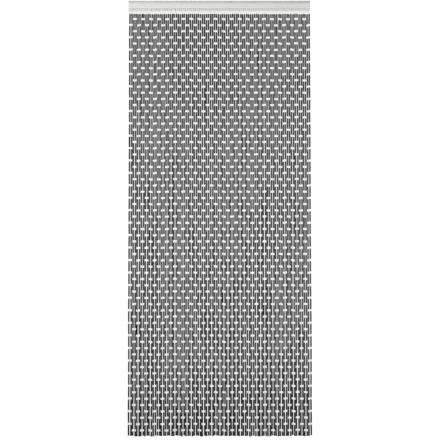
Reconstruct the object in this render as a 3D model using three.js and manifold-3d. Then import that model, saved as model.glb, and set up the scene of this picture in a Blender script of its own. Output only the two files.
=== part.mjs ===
// A tube fly curtain on its rail: ninety strands of short plastic tubes, which hang side by side from small
// clips in a white extruded rail, for the head of a doorway.
// Millimetres, +Z up. The face seen from the room looks along -Y, and +X is to its right.
// The origin is the middle of the rail's flat back, which goes against the wall.

import * as THREE from "three";
import { mergeVertices } from "three/addons/utils/BufferGeometryUtils.js";
import Module from "manifold-3d";

const wasm = await Module();
wasm.setup();

// Rail
const RAIL_LENGTH = 902;
const RAIL_HEIGHT = 48; // the flat back, from top to bottom
const FASCIA_HEIGHT = 36.5; // the front, which ends above the back's lower edge
const FASCIA_FRONT = 10.5; // from the wall to the fascia's top and bottom edges
const FASCIA_BULGE = 0.5; // how far the middle of the fascia stands in front of its edges
const LIP_FRONT = 25.5; // the top plate runs on over the fascia as a lip
const BACK_THICKNESS = 1.2;
const WALL_THICKNESS = 1.2;
const RETURN_DEPTH = 3.2; // the fascia's lower edge is turned in by this much
const LEDGE_TOP_DROP = 13.9; // from the rail's top to the ledge on which the clips hook
const LEDGE_FRONT = 4.3;
const LEDGE_LIP_HEIGHT = 2.8;
const CURVE_STEPS = 8;

// Strands
const STRANDS = 90;
const STRAND_PITCH = 10;
const ROW_ASIDE = 1; // the row of strands sits this far to the right of the rail's middle
const STRAND_LENGTH = 2077.5;
const STRAND_WIDTH = 8; // a four-sided strand stands for a round tube 8.6 mm across
const STRAND_DEPTH_AT = 5.3; // from the wall to the middle of the strands
const TUBES_TOP_DROP = 62.3; // from the rail's top to the uppermost tubes
const STRAND_STEPS = 10;
const CLOSEST_PITCH = 8.65; // two round tubes that touch
const HANG_RANGE = 1.3; // a strand hangs up to this much above or below its even height
const END_RANGE = 2.5; // and its lowest tube is cut up to this much longer or shorter

// How the strands stray from straight lines, each by its own amount
const CLIP_STRAY = 0.3; // clips sit this far to either side of their even places
const PAIR_SPREAD = 0.75; // at the bottom, the two strands of a pair have moved apart by twice this
const SWAYS = [
  { reach: 0.35, wavelength: 1500 },
  { reach: 0.22, wavelength: 640 },
  { reach: 0.15, wavelength: 270 },
];
const DEPTH_SWAY = { reach: 0.6, wavelength: 1100 };
const SETTLE_PASSES = 60;
const DRAWS = { clip: 1, hang: 2, end: 3, sway: 11, depth: 21 }; // each amount is a random draw of its own
const SCATTER = { strandStep: 12.9898, drawStep: 78.233, reach: 43758.5453 }; // any large, uneven numbers do

// Clips and the strip that joins them
const CLIP_WIDTH = 8.4;
const CLIP_THICKNESS = 1.2;
const CLIP_BODY_DROP = 52.5; // from the rail's top to where a clip narrows to its shank
const SHANK_TOP_DROP = 56;
const SHANK_WIDTH = 5.4;
const SHANK_IN_TUBE = 3;
const STRIP_END_GAP = 3; // the strip stops short of the rail's ends
const STRIP_BACK = 1.6; // from the wall to the strip's back edge
const STRIP_THICKNESS = 2.4;
const STRIP_CLEARANCE = 0.5; // above the ledge's lip

const SAME_POINT = 1e-4; // corners of a mesh that are nearer than this are one

const railTop = RAIL_HEIGHT / 2;
const tubesTop = railTop - TUBES_TOP_DROP;
const ledgeTop = railTop - LEDGE_TOP_DROP;

const railWhite = new THREE.MeshStandardMaterial({ color: 0xdcdcda, roughness: 0.45, metalness: 0 });
const tubeBlack = new THREE.MeshStandardMaterial({ color: 0x18181a, roughness: 0.3, metalness: 0 });

// The rail's section, drawn as depth in front of the wall against height.
function railSection() {
  const bottom = -railTop;
  const ceiling = railTop - WALL_THICKNESS;
  const fasciaBottom = railTop - FASCIA_HEIGHT;
  const fasciaMiddle = (ceiling + fasciaBottom) / 2;
  const fasciaInside = FASCIA_FRONT - WALL_THICKNESS;
  const bend = 2 * FASCIA_BULGE; // a quadratic curve reaches half way to its control point
  const ledgeLipBack = LEDGE_FRONT - WALL_THICKNESS;
  const section = new THREE.Shape();
  section.moveTo(0, bottom);
  section.lineTo(0, railTop);
  section.lineTo(LIP_FRONT, railTop);
  section.lineTo(LIP_FRONT, ceiling);
  section.lineTo(FASCIA_FRONT, ceiling);
  section.quadraticCurveTo(FASCIA_FRONT + bend, fasciaMiddle, FASCIA_FRONT, fasciaBottom);
  section.lineTo(FASCIA_FRONT - RETURN_DEPTH, fasciaBottom);
  section.lineTo(FASCIA_FRONT - RETURN_DEPTH, fasciaBottom + WALL_THICKNESS);
  section.lineTo(fasciaInside, fasciaBottom + WALL_THICKNESS);
  section.quadraticCurveTo(fasciaInside + bend, fasciaMiddle, fasciaInside, ceiling);
  section.lineTo(BACK_THICKNESS, ceiling);
  section.lineTo(BACK_THICKNESS, ledgeTop);
  section.lineTo(ledgeLipBack, ledgeTop);
  section.lineTo(ledgeLipBack, ledgeTop + LEDGE_LIP_HEIGHT);
  section.lineTo(LEDGE_FRONT, ledgeTop + LEDGE_LIP_HEIGHT);
  section.lineTo(LEDGE_FRONT, ledgeTop - WALL_THICKNESS);
  section.lineTo(BACK_THICKNESS, ledgeTop - WALL_THICKNESS);
  section.lineTo(BACK_THICKNESS, bottom);
  section.closePath();
  return section;
}

function makeRail() {
  const geometry = new THREE.ExtrudeGeometry(railSection(), {
    depth: RAIL_LENGTH,
    steps: 1,
    bevelEnabled: false,
    curveSegments: CURVE_STEPS,
  });
  geometry.translate(0, 0, -RAIL_LENGTH / 2);
  const rail = new THREE.Mesh(geometry, railWhite);
  rail.name = "rail";
  // Its depth goes to -Y, its height to Z and its length to X.
  rail.rotation.set(Math.PI / 2, 0, -Math.PI / 2, "ZYX");
  return rail;
}

// A number from 0 to 1 that looks random, the same for the same strand and draw each time.
function scatter(strand, draw) {
  const stretched = Math.sin(strand * SCATTER.strandStep + draw * SCATTER.drawStep) * SCATTER.reach;
  return stretched - Math.floor(stretched);
}

// The same, from -1 to 1.
function scatterAround(strand, draw) {
  return 2 * scatter(strand, draw) - 1;
}

function wave(strand, draw, wavelength, drop) {
  return Math.sin(2 * Math.PI * (drop / wavelength + scatter(strand, draw)));
}

// Where every strand is, from side to side, at one drop below the uppermost tubes. Strands that would run
// into each other are moved apart until they touch.
function rowAcross(drop) {
  const share = drop / STRAND_LENGTH;
  const row = [];
  for (let strand = 0; strand < STRANDS; strand++) {
    const even = ROW_ASIDE + (strand - (STRANDS - 1) / 2) * STRAND_PITCH;
    const side = strand % 2 === 0 ? -1 : 1;
    const sway = SWAYS.reduce(
      (sum, { reach, wavelength }, i) => sum + reach * wave(strand, DRAWS.sway + i, wavelength, drop),
      0,
    );
    const clip = even + CLIP_STRAY * scatterAround(strand, DRAWS.clip);
    row.push(clip + side * PAIR_SPREAD * share + sway * Math.sqrt(share));
  }
  for (let pass = 0; pass < SETTLE_PASSES; pass++)
    for (let strand = 1; strand < STRANDS; strand++) {
      const push = Math.max(0, CLOSEST_PITCH - (row[strand] - row[strand - 1])) / 2;
      row[strand - 1] -= push;
      row[strand] += push;
    }
  return row;
}

function depthAt(strand, drop) {
  const sway = DEPTH_SWAY.reach * wave(strand, DRAWS.depth, DEPTH_SWAY.wavelength, drop);
  return -STRAND_DEPTH_AT + sway * (drop / STRAND_LENGTH);
}

// A closed geometry as a solid for cutting and joining.
function solidOf(geometry) {
  geometry.deleteAttribute("normal");
  geometry.deleteAttribute("uv");
  const merged = mergeVertices(geometry, SAME_POINT);
  return new wasm.Manifold(
    new wasm.Mesh({
      numProp: 3,
      vertProperties: merged.getAttribute("position").array,
      triVerts: new Uint32Array(merged.index.array),
    }),
  );
}

function geometryOf(solid) {
  const { vertProperties, triVerts } = solid.getMesh();
  const indexed = new THREE.BufferGeometry();
  indexed.setAttribute("position", new THREE.BufferAttribute(vertProperties, 3));
  indexed.setIndex(new THREE.BufferAttribute(triVerts, 1));
  const faceted = indexed.toNonIndexed();
  faceted.computeVertexNormals();
  return faceted;
}

// One strand from its uppermost tube to its lowest, a long box whose steps follow the strand's own line.
function strandBody(strand, rows) {
  const length = STRAND_LENGTH + END_RANGE * scatterAround(strand, DRAWS.end);
  const top = tubesTop - HANG_RANGE * scatterAround(strand, DRAWS.hang);
  const geometry = new THREE.BoxGeometry(STRAND_WIDTH, length, STRAND_WIDTH, 1, STRAND_STEPS, 1);
  geometry.rotateX(Math.PI / 2); // its length goes to Z
  const position = geometry.getAttribute("position");
  for (let i = 0; i < position.count; i++) {
    const step = Math.round((0.5 - position.getZ(i) / length) * STRAND_STEPS);
    const drop = (step / STRAND_STEPS) * STRAND_LENGTH;
    position.setXYZ(
      i,
      position.getX(i) + rows[step][strand],
      position.getY(i) + depthAt(strand, drop),
      top - (step / STRAND_STEPS) * length,
    );
  }
  return solidOf(geometry);
}

// The flat clip from the strip down into a strand's uppermost tube: a wide body that narrows to a shank.
function clipBody(strand, topRow) {
  const top = ledgeTop + LEDGE_LIP_HEIGHT + STRIP_CLEARANCE + STRIP_THICKNESS / 2;
  const bottom = tubesTop - HANG_RANGE - SHANK_IN_TUBE;
  const outline = new THREE.Shape();
  outline.moveTo(-CLIP_WIDTH / 2, top);
  outline.lineTo(-CLIP_WIDTH / 2, railTop - CLIP_BODY_DROP);
  outline.lineTo(-SHANK_WIDTH / 2, railTop - SHANK_TOP_DROP);
  outline.lineTo(-SHANK_WIDTH / 2, bottom);
  outline.lineTo(SHANK_WIDTH / 2, bottom);
  outline.lineTo(SHANK_WIDTH / 2, railTop - SHANK_TOP_DROP);
  outline.lineTo(CLIP_WIDTH / 2, railTop - CLIP_BODY_DROP);
  outline.lineTo(CLIP_WIDTH / 2, top);
  outline.closePath();
  const geometry = new THREE.ExtrudeGeometry(outline, {
    depth: CLIP_THICKNESS,
    steps: 1,
    bevelEnabled: false,
  });
  geometry.rotateX(Math.PI / 2); // the outline's height goes to Z and its thickness to -Y
  geometry.translate(topRow[strand], -STRAND_DEPTH_AT + CLIP_THICKNESS / 2, 0);
  return solidOf(geometry);
}

// The narrow strip that lies over the ledge's lip and holds the clips together.
function stripBody() {
  const front = STRAND_DEPTH_AT + CLIP_THICKNESS / 2;
  const length = RAIL_LENGTH - 2 * STRIP_END_GAP;
  const geometry = new THREE.BoxGeometry(length, front - STRIP_BACK, STRIP_THICKNESS);
  const middle = ledgeTop + LEDGE_LIP_HEIGHT + STRIP_CLEARANCE + STRIP_THICKNESS / 2;
  geometry.translate(0, -(front + STRIP_BACK) / 2, middle);
  return solidOf(geometry);
}

function makeStrands() {
  const rows = [];
  for (let step = 0; step <= STRAND_STEPS; step++)
    rows.push(rowAcross((step / STRAND_STEPS) * STRAND_LENGTH));
  const bodies = [stripBody()];
  for (let strand = 0; strand < STRANDS; strand++)
    bodies.push(strandBody(strand, rows), clipBody(strand, rows[0]));
  const strands = new THREE.Mesh(geometryOf(wasm.Manifold.union(bodies)), tubeBlack);
  strands.name = "strands";
  return strands;
}

const curtain = new THREE.Group();
curtain.add(makeRail(), makeStrands());

export default curtain;
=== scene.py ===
"""The look of a tube fly curtain on its rail: ninety strands of short black and white plastic tubes,
threaded on cords and hooked side by side into a white rail. Metres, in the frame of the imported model:
+Z up, the room towards -Y, and the origin in the middle of the rail's flat back."""

import functools
import math

import bmesh
import bpy
import numpy as np
from mathutils import Euler, Matrix, Vector


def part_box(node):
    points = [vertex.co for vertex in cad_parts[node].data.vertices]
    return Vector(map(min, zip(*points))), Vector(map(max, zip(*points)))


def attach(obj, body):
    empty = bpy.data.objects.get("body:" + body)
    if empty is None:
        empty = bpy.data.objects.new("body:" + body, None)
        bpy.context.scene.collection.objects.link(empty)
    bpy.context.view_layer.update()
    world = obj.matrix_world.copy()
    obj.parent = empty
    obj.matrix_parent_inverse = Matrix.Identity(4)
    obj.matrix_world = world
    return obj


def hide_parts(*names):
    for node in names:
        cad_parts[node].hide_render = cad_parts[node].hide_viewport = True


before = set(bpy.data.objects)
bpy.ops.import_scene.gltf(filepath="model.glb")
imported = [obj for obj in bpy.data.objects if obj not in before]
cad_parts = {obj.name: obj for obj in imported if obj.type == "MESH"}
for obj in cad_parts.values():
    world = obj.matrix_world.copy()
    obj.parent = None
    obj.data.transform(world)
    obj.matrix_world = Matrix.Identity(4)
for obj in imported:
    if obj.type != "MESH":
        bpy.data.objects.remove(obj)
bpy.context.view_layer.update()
MM = 0.001

# Rail: depths are in front of the wall
FASCIA_HEIGHT = 36.5 * MM  # from the rail's top to the fascia's lower edge
FASCIA_FRONT = 10.5 * MM
FASCIA_BULGE = 0.5 * MM  # how far the middle of the fascia stands in front of its edges
FASCIA_STEPS = 24
LIP_FRONT = 25.5 * MM  # the top plate runs on over the fascia as a lip
BACK_THICKNESS = 1.2 * MM
WALL_THICKNESS = 1.2 * MM
RETURN_DEPTH = 3.2 * MM  # the fascia's lower edge is turned in by this much
LEDGE_TOP_DROP = 13.9 * MM  # from the rail's top to the ledge on which the clips hook
LEDGE_FRONT = 4.3 * MM
LEDGE_LIP_HEIGHT = 2.8 * MM
CORNER_RADIUS = 0.5 * MM
CORNER_STEPS = 4
END_CHAMFER = 0.15 * MM
RAIL_SHARP_ANGLE = math.radians(30)

# Strands
STRANDS = 90
STRANDS_PER_PIECE = 30
STRAND_PITCH = 10 * MM
ROW_ASIDE = 1 * MM  # the row of strands sits this far to the right of the rail's middle
STRAND_LENGTH = 2077.5 * MM
STRAND_DEPTH_AT = 5.3 * MM  # from the wall to the middle of the strands
TUBES_TOP_DROP = 62.3 * MM  # from the rail's top to the uppermost tubes
TUBE_RADIUS = 4.3 * MM
TUBE_WALL = 0.6 * MM
TUBE_CHAMFER = 0.15 * MM
TUBE_SIDES = 10
SHARP_ANGLE = math.radians(40)  # a little more than the turn between two sides of a tube
CLOSEST_PITCH = 8.65 * MM  # two tubes that touch
HANG_RANGE = 1.3 * MM  # a strand hangs up to this much above or below its even height
END_RANGE = 2.5 * MM  # and its lowest tube is cut up to this much longer or shorter

# The pattern: a short white tube after each long black one, half a period lower in every other pair
PERIOD = 61.34 * MM
WHITE_LENGTH = 10.1 * MM
FIRST_WHITE = 25.4 * MM  # from the uppermost tube's top to the middle of the first white one
PLAY = 0.35 * MM  # between two tubes
SHADE_PAINTED_SHARE = 0.014  # of the black tubes, those drawn darker and with less gloss, as painted shade

# How the strands stray from straight lines, each by its own amount
CLIP_STRAY = 0.3 * MM  # clips sit this far to either side of their even places
ZIGZAG_REACH = 0.6 * MM  # sets neighbouring tubes of a strand slightly askew
PAIR_SPREAD = 0.75 * MM  # at the bottom, the two strands of a pair have moved apart by twice this
SWAYS = ((0.35 * MM, 1500 * MM), (0.22 * MM, 640 * MM), (0.15 * MM, 270 * MM))  # (reach, wavelength)
DEPTH_SWAY_REACH = 0.6 * MM
DEPTH_SWAY_WAVELENGTH = 1100 * MM
LEVEL_STEP = 10 * MM
SETTLE_PASSES = 60

# Each amount is a random draw of its own, numbered here. Any large, uneven numbers do to scatter them.
DRAWS = {
    "clip": 1,
    "hang": 2,
    "end": 3,
    "clip_tone": 5,
    "stop_tone": 6,
    "sway": 11,
    "depth": 21,
    "shade_painted": 31,
}
SCATTER_STRAND_STEP = 12.9898
SCATTER_DRAW_STEP = 78.233
SCATTER_REACH = 43758.5453
STRAY_SEED = 5
TONE_SEEDS = {"black": 0, "white": 1000, "shade_painted": 2000}

# Clips
CLIP_WIDTH = 8.4 * MM
CLIP_THICKNESS = 1.2 * MM
CLIP_CUT = 0.3 * MM  # the chamfer along its four edges
CLIP_BODY_DROP = 52.5 * MM  # from the rail's top to where a clip narrows to its shank
SHANK_TOP_DROP = 56 * MM
SHANK_WIDTH = 5.4 * MM
SHANK_IN_TUBE = 6 * MM
HOOK_TIP_RISE = 0.9 * MM  # above the ledge
HOOK_BEND_DROP = 0.6 * MM  # from the top of the ledge's lip to the middle of the hook's bend
HOOK_STEPS = 6

# Cords, and the small disc and the knot that hold the tubes on them, as heights above the strand's end
CORD_RADIUS = 0.6 * MM
CORD_SIDES = 6
CORD_START = 4 * MM  # below the top of the uppermost tube
STOP_TOP = 4 * MM
STOP_THICKNESS = 1.2 * MM
STOP_RADIUS = 3.4 * MM
KNOT_MIDDLE = 1.6 * MM
KNOT_RADIUS = 1.3 * MM
KNOT_STEPS = 6

# Plastic: cloudy patches change its tone and roughness a little, and fine lines run along it
CLOUD_SCALE = 90
CLOUD_DETAIL = 3
ROUGHNESS_SPREAD = 0.06
LINE_SCALES = (2600, 2600, 30)
LINE_DETAIL = 2
LINE_STRENGTH = 0.25
TUBE_LINE_DEPTH = 0.03 * MM
CLIP_LINE_DEPTH = 0.02 * MM

# The rail's powder coat
COAT_DARK = (0.61, 0.61, 0.6)
COAT_LIGHT = (0.69, 0.69, 0.68)
COAT_SCALE = 7
COAT_DETAIL = 4
COAT_PAINTED_SHEEN = 0.5  # painted sheen: lighter by this share of its range at the left end, and darker at the right, as if lit from the left
COAT_ROUGHNESS = (0.38, 0.5)
PEEL_SCALE = 1400
PEEL_DETAIL = 2
PEEL_STRENGTH = 0.2
PEEL_DEPTH = 0.06 * MM

# The cords' twist, darker in the grooves between its turns as painted shade
CORD_DARK = (0.5, 0.5, 0.48)
CORD_LIGHT = (0.8, 0.8, 0.78)
CORD_ROUGHNESS = 0.8
TWIST_SCALE = 300
TWIST_DISTORTION = 1
TWIST_STRENGTH = 0.5
TWIST_DEPTH = 0.1 * MM

RAIL_LOW, RAIL_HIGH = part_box("rail")
RAIL_TOP = RAIL_HIGH[2]
TUBES_TOP = RAIL_TOP - TUBES_TOP_DROP
LEDGE_TOP = RAIL_TOP - LEDGE_TOP_DROP

# The floor, which glows a little for the camera alone, so that it is as pale as the backdrop
FLOOR_DROP = 85 * MM
FLOOR_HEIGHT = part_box("strands")[0][2] - FLOOR_DROP
FLOOR_REACH = 2.0
FLOOR_TONE = 0.32
FLOOR_ROUGHNESS = 0.9
FLOOR_SPECULAR = 0.2
FLOOR_GLOW = 0.85

# The camera, fitted to the rows and columns of white tubes in the photograph
CAMERA_DISTANCE = 4.5
CAMERA_ASIDE = -16.6 * MM
CAMERA_DROP = 1.2456
CAMERA_TILT = math.radians(2.3345)
CAMERA_ROLL = math.radians(-0.0525)
CAMERA_TURN = math.radians(-0.24)
CAMERA_LENS = 74.837  # millimetres, as is the sensor's width
CAMERA_SENSOR = 36

# Two tall softboxes, left and right of the camera, and a wide one overhead, in whose light the rail's lip
# throws a shadow on the front below it
SOFTBOX_DISTANCE = 2.6
SOFTBOX_TURN = math.radians(35)
SOFTBOX_SIZE = (0.92, 2.3)
SOFTBOX_DROP = 1.2
LEFT_POWER = 21.5
RIGHT_POWER = 16.5
OVERHEAD_SIZE = (2.4, 1.6)
OVERHEAD_DISTANCE = 3.4
OVERHEAD_RISE = 2.0
OVERHEAD_POWER = 29.6
SURROUND_LIGHT = 0.65
BACKDROP = 1.06


def scatter(strand, draw):
    """A number from 0 to 1 that looks random, the same for the same strand and draw each time."""
    wave = math.sin(strand * SCATTER_STRAND_STEP + draw * SCATTER_DRAW_STEP) * SCATTER_REACH
    return wave - math.floor(wave)


def scatter_around(strand, draw):
    """The same as a number from -1 to 1."""
    return 2 * scatter(strand, draw) - 1


def sway(strand, draw, wavelength, drops):
    return np.sin(2 * math.pi * (drops / wavelength + scatter(strand, draw)))


def zigzag(rng, drops):
    """A random zigzag with a corner at every half period of the pattern."""
    corners = np.arange(0, STRAND_LENGTH + PERIOD, PERIOD / 2)
    return np.interp(drops, corners, rng.uniform(-ZIGZAG_REACH, ZIGZAG_REACH, len(corners)))


def strand_lines():
    """The drops of evenly spaced levels, and each strand's place across and in depth at every level.
    Strands that would cut into each other push each other apart."""
    drops = np.arange(0, STRAND_LENGTH + 2 * LEVEL_STEP, LEVEL_STEP)
    share = drops / STRAND_LENGTH
    rng = np.random.default_rng(STRAY_SEED)
    across = np.empty((STRANDS, len(drops)))
    depth = np.empty_like(across)
    for strand in range(STRANDS):
        even = ROW_ASIDE + (strand - (STRANDS - 1) / 2) * STRAND_PITCH
        side = -1 if strand % 2 == 0 else 1
        across[strand] = even + CLIP_STRAY * scatter_around(strand, DRAWS["clip"])
        across[strand] += side * PAIR_SPREAD * share + zigzag(rng, drops)
        for i, (reach, wavelength) in enumerate(SWAYS):
            across[strand] += reach * sway(strand, DRAWS["sway"] + i, wavelength, drops) * np.sqrt(share)
        swing = sway(strand, DRAWS["depth"], DEPTH_SWAY_WAVELENGTH, drops)
        depth[strand] = -STRAND_DEPTH_AT + DEPTH_SWAY_REACH * swing * share + zigzag(rng, drops)
    for _ in range(SETTLE_PASSES):
        for strand in range(1, STRANDS):
            push = np.maximum(0, CLOSEST_PITCH - (across[strand] - across[strand - 1])) / 2
            across[strand - 1] -= push
            across[strand] += push
    return drops, across, depth


DROPS, ACROSS, DEPTH = strand_lines()


def strand_top(strand):
    return TUBES_TOP - HANG_RANGE * scatter_around(strand, DRAWS["hang"])


def strand_length(strand):
    return STRAND_LENGTH + END_RANGE * scatter_around(strand, DRAWS["end"])


def strand_points(strand, drops):
    """Points on a strand's line at these drops below its own top."""
    x = np.interp(drops, DROPS, ACROSS[strand])
    y = np.interp(drops, DROPS, DEPTH[strand])
    return np.column_stack([x, y, strand_top(strand) - np.asarray(drops)])


def white_middles(strand):
    """The drops to the middles of a strand's white tubes."""
    pair = strand // 2
    first = FIRST_WHITE + (0 if pair % 2 else PERIOD / 2)
    return np.arange(first, strand_length(strand) - WHITE_LENGTH, PERIOD)


def tube_spans(strand, kind):
    """The (top drop, bottom drop) of a strand's tubes of one kind: white, black, or shade_painted for
    the few black ones drawn darker and with less gloss, as painted shade."""
    middles = white_middles(strand)
    if kind == "white":
        return np.column_stack([middles - WHITE_LENGTH / 2, middles + WHITE_LENGTH / 2])
    tops = np.append(0, middles + WHITE_LENGTH / 2 + PLAY)
    bottoms = np.append(middles - WHITE_LENGTH / 2 - PLAY, strand_length(strand))
    numbers = strand + STRANDS * np.arange(len(tops))
    # painted shade: a few black tubes are drawn darker and with less gloss
    shade_painted = np.array([scatter(number, DRAWS["shade_painted"]) < SHADE_PAINTED_SHARE for number in numbers])
    return np.column_stack([tops, bottoms])[shade_painted == (kind == "shade_painted")]


def mesh_object(name, vertices, quads):
    """An object from arrays of vertices and four-sided faces, smooth but for its sharp edges."""
    mesh = bpy.data.meshes.new(name)
    mesh.vertices.add(len(vertices))
    mesh.vertices.foreach_set("co", np.ascontiguousarray(vertices, np.float32).ravel())
    mesh.loops.add(quads.size)
    mesh.loops.foreach_set("vertex_index", quads.ravel().astype(np.int32))
    mesh.polygons.add(len(quads))
    mesh.polygons.foreach_set("loop_start", np.arange(0, quads.size, 4, dtype=np.int32))
    mesh.polygons.foreach_set("use_smooth", np.ones(len(quads), bool))
    mesh.update(calc_edges=True)
    mesh.set_sharp_from_angle(angle=SHARP_ANGLE)
    made = bpy.data.objects.new(name, mesh)
    bpy.context.scene.collection.objects.link(made)
    return made


@functools.cache
def ring_quads(rings, sides):
    """Faces between neighbouring rings of points, as vertex numbers, and from the last ring back to the
    first, so that they make one closed surface."""
    quads = []
    for ring in range(rings):
        here, after = ring * sides, (ring + 1) % rings * sides
        for side in range(sides):
            beside = (side + 1) % sides
            quads.append((here + side, after + side, after + beside, here + beside))
    return np.array(quads)


@functools.cache
def rod_quads(rings, sides):
    """Faces between neighbouring rings of an even number of points, with a flat lid on the first and the
    last."""
    lid = np.array([(0, corner, corner + 1, corner + 2) for corner in range(1, sides - 2, 2)])
    walls = ring_quads(rings, sides)[: (rings - 1) * sides]
    return np.concatenate([walls, lid, lid[:, ::-1] + (rings - 1) * sides])


def joined_object(name, forms, quads_between, tones=None):
    """One object from many closed forms, each an array of rings of points, with faces from quads_between.
    Where tones are given, one for each form, its vertices carry its tone for the material to read."""
    sizes = [form.shape[0] * form.shape[1] for form in forms]
    starts = np.cumsum([0, *sizes[:-1]])
    vertices = np.concatenate([form.reshape(-1, 3) for form in forms])
    quads = [quads_between(*form.shape[:2]) + start for form, start in zip(forms, starts)]
    made = mesh_object(name, vertices, np.concatenate(quads))
    if tones is not None:
        values = np.repeat(tones, sizes).astype(np.float32)
        made.data.attributes.new("tone", "FLOAT", "POINT").data.foreach_set("value", values)
    return made


def circle_points(sides):
    """The corners of a level ring of radius 1 round the origin."""
    turn = 2 * math.pi * np.arange(sides) / sides
    return np.column_stack([np.cos(turn), np.sin(turn), np.zeros(sides)])


def tube_rings(top, bottom):
    """An open tube between two points: from its bore at the top, down its outside with a small chamfer at
    both rims, to its bore at the bottom."""
    inside = TUBE_RADIUS - TUBE_WALL
    rim = TUBE_RADIUS - TUBE_CHAMFER
    down = (bottom - top) / np.linalg.norm(bottom - top) * TUBE_CHAMFER
    circle = circle_points(TUBE_SIDES)
    return np.array(
        [
            top + circle * inside,
            top + circle * rim,
            top + down + circle * TUBE_RADIUS,
            bottom - down + circle * TUBE_RADIUS,
            bottom + circle * rim,
            bottom + circle * inside,
        ]
    )


def tubes_object(name, strands, kind):
    """All the tubes of one kind in some strands, as one object. Each tube has its own tone."""
    forms = []
    for strand in strands:
        tops, bottoms = tube_spans(strand, kind).T
        for top, bottom in zip(strand_points(strand, tops), strand_points(strand, bottoms)):
            forms.append(tube_rings(top, bottom))
    rng = np.random.default_rng(strands[0] + TONE_SEEDS[kind])
    return joined_object(name, forms, ring_quads, rng.random(len(forms)))


def clip_line():
    """Stations along a clip, from its hook behind the ledge's lip, over the lip and down into the
    uppermost tube. Each is (depth in front of the wall, height, width, lean of the section in radians)."""
    lip_middle = LEDGE_FRONT - WALL_THICKNESS / 2
    bend = STRAND_DEPTH_AT - lip_middle
    bend_height = LEDGE_TOP + LEDGE_LIP_HEIGHT - HOOK_BEND_DROP
    stations = [(lip_middle - bend, LEDGE_TOP + HOOK_TIP_RISE, CLIP_WIDTH, 0)]
    for step in range(HOOK_STEPS + 1):
        angle = math.pi * step / HOOK_STEPS
        depth = lip_middle - bend * math.cos(angle)
        stations.append((depth, bend_height + bend * math.sin(angle), CLIP_WIDTH, angle))
    stations.append((STRAND_DEPTH_AT, RAIL_TOP - CLIP_BODY_DROP, CLIP_WIDTH, math.pi))
    stations.append((STRAND_DEPTH_AT, RAIL_TOP - SHANK_TOP_DROP, SHANK_WIDTH, math.pi))
    stations.append((STRAND_DEPTH_AT, TUBES_TOP - SHANK_IN_TUBE, SHANK_WIDTH, math.pi))
    return stations


def clip_section(width):
    """The corners of a flat strip's chamfered section, as (across, through)."""
    out = width / 2
    half = CLIP_THICKNESS / 2
    quarter = ((out - CLIP_CUT, half), (out, half - CLIP_CUT))
    front = [(-across, through) for across, through in reversed(quarter)] + list(quarter)
    return front + [(-across, -through) for across, through in front]


def clips_object(name):
    """The flat hooked clips, as strips with chamfered corners."""
    stations = clip_line()
    forms = []
    for strand in range(STRANDS):
        x = ACROSS[strand][0]
        rings = [
            [
                (x + across, -(depth - through * math.cos(lean)), height + through * math.sin(lean))
                for across, through in clip_section(width)
            ]
            for depth, height, width, lean in stations
        ]
        forms.append(np.array(rings))
    tones = [scatter(strand, DRAWS["clip_tone"]) for strand in range(STRANDS)]
    return joined_object(name, forms, rod_quads, tones)


def end_stops_object(name):
    """In each lowest tube's end, a disc round the cord and a knot under it."""
    stations = [
        (STOP_TOP, CORD_RADIUS),
        (STOP_TOP, STOP_RADIUS),
        (STOP_TOP - STOP_THICKNESS, STOP_RADIUS),
        (STOP_TOP - STOP_THICKNESS, CORD_RADIUS),
    ]
    for step in range(1, KNOT_STEPS):
        angle = math.pi * step / KNOT_STEPS
        stations.append((KNOT_MIDDLE + KNOT_RADIUS * math.cos(angle), KNOT_RADIUS * math.sin(angle)))
    circle = circle_points(TUBE_SIDES)
    forms = []
    for strand in range(STRANDS):
        end = strand_points(strand, [strand_length(strand)])[0]
        forms.append(np.array([end + (0, 0, height) + circle * radius for height, radius in stations]))
    tones = [scatter(strand, DRAWS["stop_tone"]) for strand in range(STRANDS)]
    return joined_object(name, forms, rod_quads, tones)


def cords_object(name):
    """One cord down each strand, which shows where two tubes meet."""
    circle = circle_points(CORD_SIDES) * CORD_RADIUS
    forms = []
    for strand in range(STRANDS):
        middles = white_middles(strand)
        ends = np.concatenate([middles - WHITE_LENGTH / 2, middles + WHITE_LENGTH / 2])
        drops = np.sort(np.append(ends, (CORD_START, strand_length(strand) - KNOT_MIDDLE)))
        forms.append(np.array([point + circle for point in strand_points(strand, drops)]))
    return joined_object(name, forms, rod_quads)


def fillet(outline):
    """A closed outline of (x, y, radius) corners with each corner rounded."""
    points = []
    for i, (x, y, radius) in enumerate(outline):
        corner = Vector((x, y))
        if radius == 0:
            points.append(corner)
            continue
        before = (Vector(outline[i - 1][:2]) - corner).normalized()
        after = (Vector(outline[(i + 1) % len(outline)][:2]) - corner).normalized()
        half = before.angle(after) / 2
        centre = corner + (before + after).normalized() * radius / math.sin(half)
        start = (corner + before * radius / math.tan(half) - centre).normalized()
        end = (corner + after * radius / math.tan(half) - centre).normalized()
        for step in range(CORNER_STEPS + 1):
            points.append(centre + radius * start.slerp(end, step / CORNER_STEPS))
    return points


def bowed_wall(edge, high, low):
    """Points from one height to another on the fascia's wall, which bows out between its edges."""
    shares = [step / FASCIA_STEPS for step in range(1, FASCIA_STEPS)]
    return [(edge + 4 * FASCIA_BULGE * s * (1 - s), high + (low - high) * s, 0) for s in shares]


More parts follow.
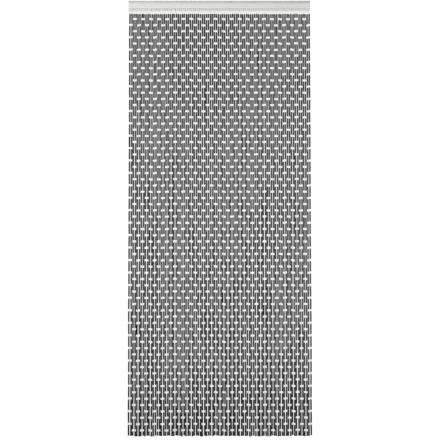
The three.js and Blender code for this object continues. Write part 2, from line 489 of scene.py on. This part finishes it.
def rail_outline():
    """The rail's section, as points of depth in front of the wall and height: up the back, out to the
    lip, down the fascia and round the ledge."""
    bottom = RAIL_LOW[2]
    ceiling = RAIL_TOP - WALL_THICKNESS
    fascia_bottom = RAIL_TOP - FASCIA_HEIGHT
    inside = FASCIA_FRONT - WALL_THICKNESS
    turned_in = FASCIA_FRONT - RETURN_DEPTH
    ledge_lip_back = LEDGE_FRONT - WALL_THICKNESS
    ledge_lip_top = LEDGE_TOP + LEDGE_LIP_HEIGHT
    big, small = CORNER_RADIUS, CORNER_RADIUS / 2
    return fillet(
        [
            (0, bottom, small),
            (0, RAIL_TOP, small),
            (LIP_FRONT, RAIL_TOP, big),
            (LIP_FRONT, ceiling, big),
            (FASCIA_FRONT, ceiling, small),
            *bowed_wall(FASCIA_FRONT, ceiling, fascia_bottom),
            (FASCIA_FRONT, fascia_bottom, big),
            (turned_in, fascia_bottom, small),
            (turned_in, fascia_bottom + WALL_THICKNESS, small),
            (inside, fascia_bottom + WALL_THICKNESS, small),
            *bowed_wall(inside, fascia_bottom + WALL_THICKNESS, ceiling),
            (inside, ceiling, small),
            (BACK_THICKNESS, ceiling, small),
            (BACK_THICKNESS, LEDGE_TOP, small),
            (ledge_lip_back, LEDGE_TOP, small),
            (ledge_lip_back, ledge_lip_top, small),
            (LEDGE_FRONT, ledge_lip_top, small),
            (LEDGE_FRONT, LEDGE_TOP - WALL_THICKNESS, big),
            (BACK_THICKNESS, LEDGE_TOP - WALL_THICKNESS, small),
            (BACK_THICKNESS, bottom, small),
        ]
    )


def inset(outline, depth):
    """A closed outline, drawn clockwise, moved inwards by the same depth all along."""
    moved = []
    for i, point in enumerate(outline):
        ahead = outline[(i + 1) % len(outline)] - point
        behind = point - outline[i - 1]
        along = ahead.normalized() + behind.normalized()
        inwards = Vector((along.y, -along.x)).normalized()
        moved.append(point + inwards * depth / (along.length / 2))
    return moved


def rail_object(name):
    """The extruded rail, with a small chamfer round its cut ends."""
    outline = rail_outline()
    cut_end = inset(outline, END_CHAMFER)
    left, right = RAIL_LOW[0], RAIL_HIGH[0]
    rings = (
        (left, cut_end),
        (left + END_CHAMFER, outline),
        (right - END_CHAMFER, outline),
        (right, cut_end),
    )
    shape = bmesh.new()
    loops = [[shape.verts.new((x, -point.x, point.y)) for point in ring] for x, ring in rings]
    for before, after in zip(loops, loops[1:]):
        for i in range(len(before)):
            shape.faces.new((before[i - 1], before[i], after[i], after[i - 1]))
    shape.faces.new(loops[0])
    shape.faces.new(loops[-1])
    bmesh.ops.recalc_face_normals(shape, faces=shape.faces)
    mesh = bpy.data.meshes.new(name)
    shape.to_mesh(mesh)
    shape.free()
    mesh.shade_smooth()
    mesh.set_sharp_from_angle(angle=RAIL_SHARP_ANGLE)
    made = bpy.data.objects.new(name, mesh)
    bpy.context.scene.collection.objects.link(made)
    return made


class Nodes:
    """Short calls that add shader nodes to one material or world. Each takes numbers, colours or other
    nodes' outputs, and gives the new node's output."""

    def __init__(self, tree):
        self.tree = tree

    def feed(self, node, inputs):
        """Sets a node's inputs, each to a number or colour, or to another node's output."""
        for key, value in inputs.items():
            if isinstance(value, bpy.types.NodeSocket):
                self.tree.links.new(value, node.inputs[key])
            else:
                node.inputs[key].default_value = value

    def add(self, kind, output, inputs=None, **settings):
        """A new node with these inputs and settings, as that one of its outputs."""
        node = self.tree.nodes.new(kind)
        for key, value in settings.items():
            setattr(node, key, value)
        self.feed(node, inputs or {})
        return node.outputs[output]

    def place(self):
        """The point of the surface, in metres in the object's own frame."""
        return self.add("ShaderNodeTexCoord", "Object")

    def for_camera(self):
        """1 where the camera looks straight at it, and 0 for the light that it gives or reflects."""
        return self.add("ShaderNodeLightPath", "Is Camera Ray")

    def maths(self, operation, first, second):
        return self.add("ShaderNodeMath", 0, {0: first, 1: second}, operation=operation)

    def noise(self, place, scale, detail):
        return self.add("ShaderNodeTexNoise", "Fac", {"Vector": place, "Scale": scale, "Detail": detail})

    def in_range(self, value, low, high, first=0, last=1):
        """Turns first into low, last into high, and what lies between them evenly."""
        ends = {"Value": value, "From Min": first, "From Max": last, "To Min": low, "To Max": high}
        return self.add("ShaderNodeMapRange", "Result", ends)

    def between(self, share, dark, light):
        """The colour that is this share of the way from dark to light."""
        colours = {"Factor": share, "A": (*dark, 1), "B": (*light, 1)}
        return self.add("ShaderNodeMix", "Result", colours, data_type="RGBA")

    def bump(self, height, strength, depth):
        relief = {"Height": height, "Strength": strength, "Distance": depth}
        return self.add("ShaderNodeBump", "Normal", relief)


def start_material(name):
    material = bpy.data.materials.new(name)
    material.use_nodes = True
    return material, Nodes(material.node_tree), material.node_tree.nodes["Principled BSDF"]


def plastic(name, dark, light, roughness, specular, line_depth):
    """Smooth plastic. Each tube or clip has its own tone between dark and light."""
    material, nodes, shader = start_material(name)
    place = nodes.place()
    cloudy = nodes.noise(place, CLOUD_SCALE, CLOUD_DETAIL)
    own_tone = nodes.add("ShaderNodeAttribute", "Fac", attribute_name="tone")
    tone = nodes.maths("MULTIPLY", nodes.maths("ADD", own_tone, cloudy), 0.5)
    stretched = nodes.add("ShaderNodeMapping", "Vector", {"Vector": place, "Scale": LINE_SCALES})
    lines = nodes.noise(stretched, 1, LINE_DETAIL)
    look = {
        "Base Color": nodes.between(tone, dark, light),
        "Roughness": nodes.in_range(cloudy, roughness - ROUGHNESS_SPREAD, roughness + ROUGHNESS_SPREAD),
        "Specular IOR Level": specular,
        "Normal": nodes.bump(lines, LINE_STRENGTH, line_depth),
    }
    nodes.feed(shader, look)
    return material


def black_plastic():
    return plastic(
        "black_tube",
        dark=(0.014, 0.014, 0.015),
        light=(0.036, 0.036, 0.037),
        roughness=0.15,
        specular=0.5,
        line_depth=TUBE_LINE_DEPTH,
    )


# Painted shade: a darker black with less gloss, for the few tubes that catch no highlight
def shade_painted_black_plastic():
    return plastic(
        "shade_painted_black_tube",
        dark=(0.008, 0.008, 0.008),
        light=(0.012, 0.012, 0.012),
        roughness=0.45,
        specular=0.1,
        line_depth=TUBE_LINE_DEPTH,
    )


def white_plastic():
    return plastic(
        "white_tube",
        dark=(0.85, 0.85, 0.84),
        light=(0.92, 0.92, 0.91),
        roughness=0.35,
        specular=0.5,
        line_depth=TUBE_LINE_DEPTH,
    )


def clip_plastic():
    return plastic(
        "white_clip",
        dark=(0.71, 0.71, 0.7),
        light=(0.77, 0.77, 0.76),
        roughness=0.45,
        specular=0.4,
        line_depth=CLIP_LINE_DEPTH,
    )


def powder_coat():
    """White powder coat: a fine orange peel, and a faint painted sheen that makes it lighter at the left
    end and darker at the right.
    """
    material, nodes, shader = start_material("rail_coat")
    place = nodes.place()
    # Painted sheen: the coat is drawn lighter at the left end and darker at the right, as if lit from the
    # left
    along = nodes.add("ShaderNodeSeparateXYZ", "X", {"Vector": place})
    painted_sheen = nodes.in_range(along, COAT_PAINTED_SHEEN, -COAT_PAINTED_SHEEN, RAIL_LOW[0], RAIL_HIGH[0])
    tone = nodes.maths("ADD", nodes.noise(place, COAT_SCALE, COAT_DETAIL), painted_sheen)
    peel = nodes.noise(place, PEEL_SCALE, PEEL_DETAIL)
    look = {
        "Base Color": nodes.between(tone, COAT_DARK, COAT_LIGHT),
        "Roughness": nodes.in_range(peel, *COAT_ROUGHNESS),
        "Normal": nodes.bump(peel, PEEL_STRENGTH, PEEL_DEPTH),
    }
    nodes.feed(shader, look)
    return material


def twisted_cord():
    """Off-white cord with slanting turns, darker in the grooves between them as painted shade."""
    material, nodes, shader = start_material("cord")
    twist = {"Vector": nodes.place(), "Scale": TWIST_SCALE, "Distortion": TWIST_DISTORTION}
    turns = nodes.add("ShaderNodeTexWave", "Fac", twist, bands_direction="DIAGONAL")
    # painted shade: the colour darkens where the bump's grooves lie
    look = {
        "Base Color": nodes.between(turns, CORD_DARK, CORD_LIGHT),
        "Roughness": CORD_ROUGHNESS,
        "Normal": nodes.bump(turns, TWIST_STRENGTH, TWIST_DEPTH),
    }
    nodes.feed(shader, look)
    return material


def pale_floor():
    material, nodes, shader = start_material("floor_white")
    look = {
        "Base Color": (FLOOR_TONE, FLOOR_TONE, FLOOR_TONE, 1),
        "Roughness": FLOOR_ROUGHNESS,
        "Specular IOR Level": FLOOR_SPECULAR,
        "Emission Color": (1, 1, 1, 1),
        "Emission Strength": nodes.in_range(nodes.for_camera(), 0, FLOOR_GLOW),
    }
    nodes.feed(shader, look)
    return material


def add_camera():
    camera = bpy.data.objects.new("camera", bpy.data.cameras.new("camera"))
    camera.data.lens = CAMERA_LENS
    camera.data.sensor_width = CAMERA_SENSOR
    camera.location = (CAMERA_ASIDE, -STRAND_DEPTH_AT - CAMERA_DISTANCE, -CAMERA_DROP)
    aim = Euler((math.pi / 2 + CAMERA_TILT, 0, CAMERA_TURN)).to_matrix()
    camera.rotation_euler = (aim @ Matrix.Rotation(CAMERA_ROLL, 3, "Z")).to_euler()
    bpy.context.scene.collection.objects.link(camera)
    bpy.context.scene.camera = camera


def add_floor():
    near, far = -FLOOR_REACH, FLOOR_REACH
    corners = [(x, y, FLOOR_HEIGHT) for x, y in ((near, near), (far, near), (far, far), (near, far))]
    floor = mesh_object("floor", corners, np.array([[0, 1, 2, 3]]))
    floor.data.materials.append(pale_floor())


def add_softbox(name, turn, distance, rise, aim_rise, size, power):
    """A softbox at a height above the rail's middle, which faces the curtain at another height."""
    light = bpy.data.lights.new(name, "AREA")
    light.shape = "RECTANGLE"
    light.size, light.size_y = size
    light.energy = power
    lamp = bpy.data.objects.new(name, light)
    lamp.location = (distance * math.sin(turn), -distance * math.cos(turn), rise)
    lamp.rotation_euler = (Vector((0, 0, aim_rise)) - lamp.location).to_track_quat("-Z", "Y").to_euler()
    lamp.visible_camera = False
    bpy.context.scene.collection.objects.link(lamp)


def light_scene():
    """The softboxes, and a pale surround that the camera sees brighter than the light it gives."""
    for name, turn, power in (
        ("left_softbox", -SOFTBOX_TURN, LEFT_POWER),
        ("right_softbox", SOFTBOX_TURN, RIGHT_POWER),
    ):
        add_softbox(name, turn, SOFTBOX_DISTANCE, -SOFTBOX_DROP, -SOFTBOX_DROP, SOFTBOX_SIZE, power)
    add_softbox("overhead_softbox", 0, OVERHEAD_DISTANCE, OVERHEAD_RISE, 0, OVERHEAD_SIZE, OVERHEAD_POWER)
    world = bpy.data.worlds.new("studio")
    world.use_nodes = True
    nodes = Nodes(world.node_tree)
    level = nodes.in_range(nodes.for_camera(), SURROUND_LIGHT, BACKDROP)
    nodes.feed(world.node_tree.nodes["Background"], {"Color": (1, 1, 1, 1), "Strength": level})
    bpy.context.scene.world = world
    bpy.context.scene.view_settings.view_transform = "Standard"


def fit_to_part(piece, material, node):
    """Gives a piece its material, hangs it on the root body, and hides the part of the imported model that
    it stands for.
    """
    piece.data.materials.append(material)
    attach(piece, "root")
    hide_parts(node)


def dress_strands():
    """Tubes, clips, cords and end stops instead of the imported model's plain strands."""
    black = black_plastic()
    shade_painted = shade_painted_black_plastic()
    white = white_plastic()
    clip = clip_plastic()
    for first in range(0, STRANDS, STRANDS_PER_PIECE):
        strands = range(first, first + STRANDS_PER_PIECE)
        part = first // STRANDS_PER_PIECE + 1
        fit_to_part(tubes_object(f"black_tubes_{part}", strands, "black"), black, "strands")
        fit_to_part(tubes_object(f"white_tubes_{part}", strands, "white"), white, "strands")
    # The few black tubes drawn darker and with less gloss, as painted shade
    fit_to_part(tubes_object("shade_painted_tubes", range(STRANDS), "shade_painted"), shade_painted, "strands")
    fit_to_part(clips_object("clips"), clip, "strands")
    fit_to_part(end_stops_object("end_stops"), clip, "strands")
    fit_to_part(cords_object("cords"), twisted_cord(), "strands")


add_camera()
add_floor()
light_scene()
fit_to_part(rail_object("rail_profile"), powder_coat(), "rail")
dress_strands()
